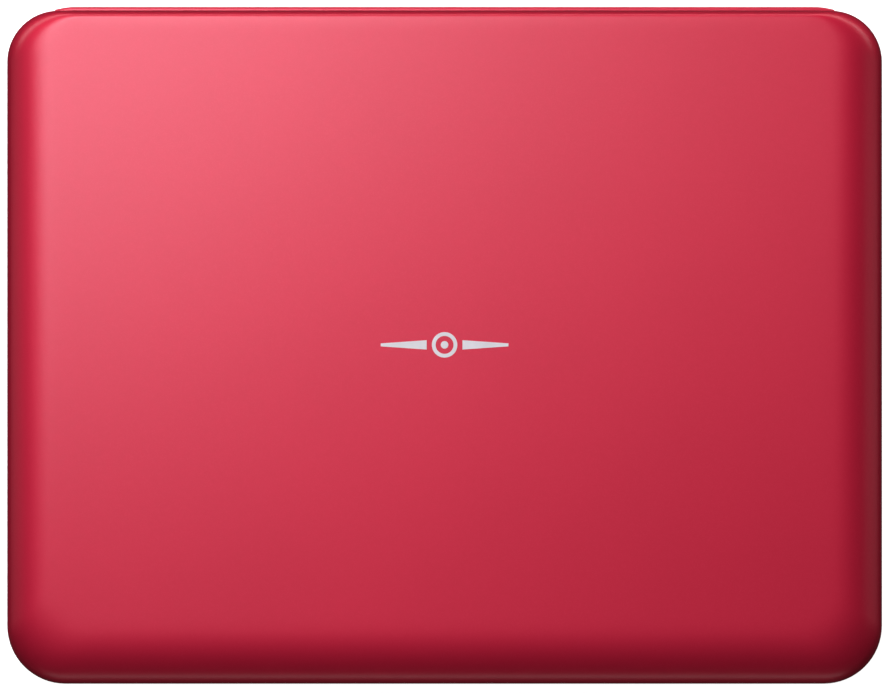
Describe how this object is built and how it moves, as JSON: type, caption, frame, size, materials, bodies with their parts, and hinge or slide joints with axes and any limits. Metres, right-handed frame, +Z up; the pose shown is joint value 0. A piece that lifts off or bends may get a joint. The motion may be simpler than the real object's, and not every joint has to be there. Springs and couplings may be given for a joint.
{
  "type": "portable dvd player",
  "caption": "Clamshell portable disc player with a rounded lacquered lid over a screen, a key deck, a disc well under its own lid, and side sockets.",
  "frame": {"origin": "on the table, under the middle of the closed player's overall box", "axes": "+X to the user's right, +Y towards the hinge at the back, +Z up"},
  "size_m": [0.206, 0.1596, 0.036],
  "materials": {
    "red_lacquer": "metallic red lacquer with a satin clear coat",
    "black_plastic": "fine texture",
    "gloss_black": "polished",
    "silver_plastic": "satin silver paint",
    "steel": "ground",
    "zinc_plate": "plated sheet and die casting",
    "circuit_board": "solder mask",
    "rubber": "matt",
    "glass": "clear, polished",
    "battery_wrap": "shrink sleeve",
    "lens": "coated",
    "lamp": "translucent",
    "brass": "turned"
  },
  "bodies": {
    "base": {"bottom_case": "red_lacquer", "top_case": "black_plastic", "disc_well": "black_plastic", "battery_cover": "black_plastic", "battery_pack": "battery_wrap", "foot_front_left": "rubber", "foot_front_right": "rubber", "foot_rear_left": "rubber", "foot_rear_right": "rubber", "case_screw_front_left": "steel", "case_screw_front_right": "steel", "case_screw_rear_left": "steel", "case_screw_rear_right": "steel", "main_board": "circuit_board", "key_board": "circuit_board", "headphone_jack_front": "black_plastic", "headphone_jack_rear": "black_plastic", "av_jack": "black_plastic", "dc_jack": "black_plastic", "remote_window": "gloss_black", "status_lamp": "lamp", "volume_pot": "black_plastic", "drive_chassis": "zinc_plate", "spindle_motor": "zinc_plate", "guide_rail_left": "steel", "guide_rail_right": "steel", "feed_motor": "zinc_plate", "hinge_trough": "red_lacquer", "hinge_pin_left": "steel", "hinge_pin_right": "steel"},
    "display": {"lid_cover": "red_lacquer", "screen_bezel": "gloss_black", "screen_window": "glass", "lcd_panel": "glass", "backlight_tray": "zinc_plate", "display_board": "circuit_board", "speaker_left": "black_plastic", "speaker_right": "black_plastic", "speaker_grille_left": "black_plastic", "speaker_grille_right": "black_plastic", "screen_bumper_left": "rubber", "screen_bumper_right": "rubber", "hinge_barrel": "red_lacquer"},
    "disc_lid": {"disc_lid": "black_plastic"},
    "turntable": {"turntable": "black_plastic"},
    "pickup": {"pickup_carriage": "zinc_plate", "pickup_lens": "lens"},
    "lead_screw": {"lead_screw": "brass"},
    "volume_wheel": {"volume_wheel": "silver_plastic"},
    "power_switch": {"power_switch": "silver_plastic"},
    "open_slider": {"open_slider": "silver_plastic"},
    "key_enter": {"key_enter": "silver_plastic"},
    "key_up": {"key_up": "silver_plastic"},
    "key_down": {"key_down": "silver_plastic"},
    "key_left": {"key_left": "silver_plastic"},
    "key_right": {"key_right": "silver_plastic"},
    "key_stop": {"key_stop": "silver_plastic"},
    "key_play": {"key_play": "silver_plastic"},
    "key_previous": {"key_previous": "silver_plastic"},
    "key_next": {"key_next": "silver_plastic"}
  },
  "joints": [
    {"name": "display_hinge", "type": "hinge", "parent": "base", "child": "display", "pos_m": [0, 0.0762, 0.022], "axis": [-1, 0, 0], "range_deg": [0, 135]},
    {"name": "disc_lid_hinge", "type": "hinge", "parent": "base", "child": "disc_lid", "pos_m": [-0.028, 0.063, 0.0195], "axis": [-1, 0, 0], "range_deg": [0, 60.5]},
    {"name": "turntable_spin", "type": "hinge", "parent": "base", "child": "turntable", "pos_m": [-0.028, -0.004, 0.0159], "axis": [0, 0, 1], "continuous": true},
    {"name": "pickup_slide", "type": "slide", "parent": "base", "child": "pickup", "axis": [0, -1, 0], "range_m": [0, 0.0335]},
    {"name": "lead_screw_turn", "type": "hinge", "parent": "base", "child": "lead_screw", "pos_m": [0.004, 0, 0.0079], "axis": [0, 1, 0], "continuous": true},
    {"name": "volume_turn", "type": "hinge", "parent": "base", "child": "volume_wheel", "pos_m": [0.0939, -0.044, 0.0122], "axis": [0, 0, 1], "range_deg": [-140, 140]},
    {"name": "power_slide", "type": "slide", "parent": "base", "child": "power_switch", "axis": [0, 1, 0], "range_m": [0, 0.004]},
    {"name": "open_slide", "type": "slide", "parent": "base", "child": "open_slider", "axis": [-1, 0, 0], "range_m": [0, 0.003], "stiffness_N_per_m": 300},
    {"name": "enter_press", "type": "slide", "parent": "base", "child": "key_enter", "axis": [0, 0, -1], "range_m": [0, 0.0006], "stiffness_N_per_m": 1500},
    {"name": "up_press", "type": "slide", "parent": "base", "child": "key_up", "axis": [0, 0, -1], "range_m": [0, 0.0006], "stiffness_N_per_m": 1500},
    {"name": "down_press", "type": "slide", "parent": "base", "child": "key_down", "axis": [0, 0, -1], "range_m": [0, 0.0006], "stiffness_N_per_m": 1500},
    {"name": "left_press", "type": "slide", "parent": "base", "child": "key_left", "axis": [0, 0, -1], "range_m": [0, 0.0006], "stiffness_N_per_m": 1500},
    {"name": "right_press", "type": "slide", "parent": "base", "child": "key_right", "axis": [0, 0, -1], "range_m": [0, 0.0006], "stiffness_N_per_m": 1500},
    {"name": "stop_press", "type": "slide", "parent": "base", "child": "key_stop", "axis": [0, 0, -1], "range_m": [0, 0.0006], "stiffness_N_per_m": 1500},
    {"name": "play_press", "type": "slide", "parent": "base", "child": "key_play", "axis": [0, 0, -1], "range_m": [0, 0.0006], "stiffness_N_per_m": 1500},
    {"name": "previous_press", "type": "slide", "parent": "base", "child": "key_previous", "axis": [0, 0, -1], "range_m": [0, 0.0006], "stiffness_N_per_m": 1500},
    {"name": "next_press", "type": "slide", "parent": "base", "child": "key_next", "axis": [0, 0, -1], "range_m": [0, 0.0006], "stiffness_N_per_m": 1500}
  ],
  "couplings": [
    {"joint": "disc_lid_hinge", "follows": "display_hinge", "ratio": 0.44444}
  ]
}
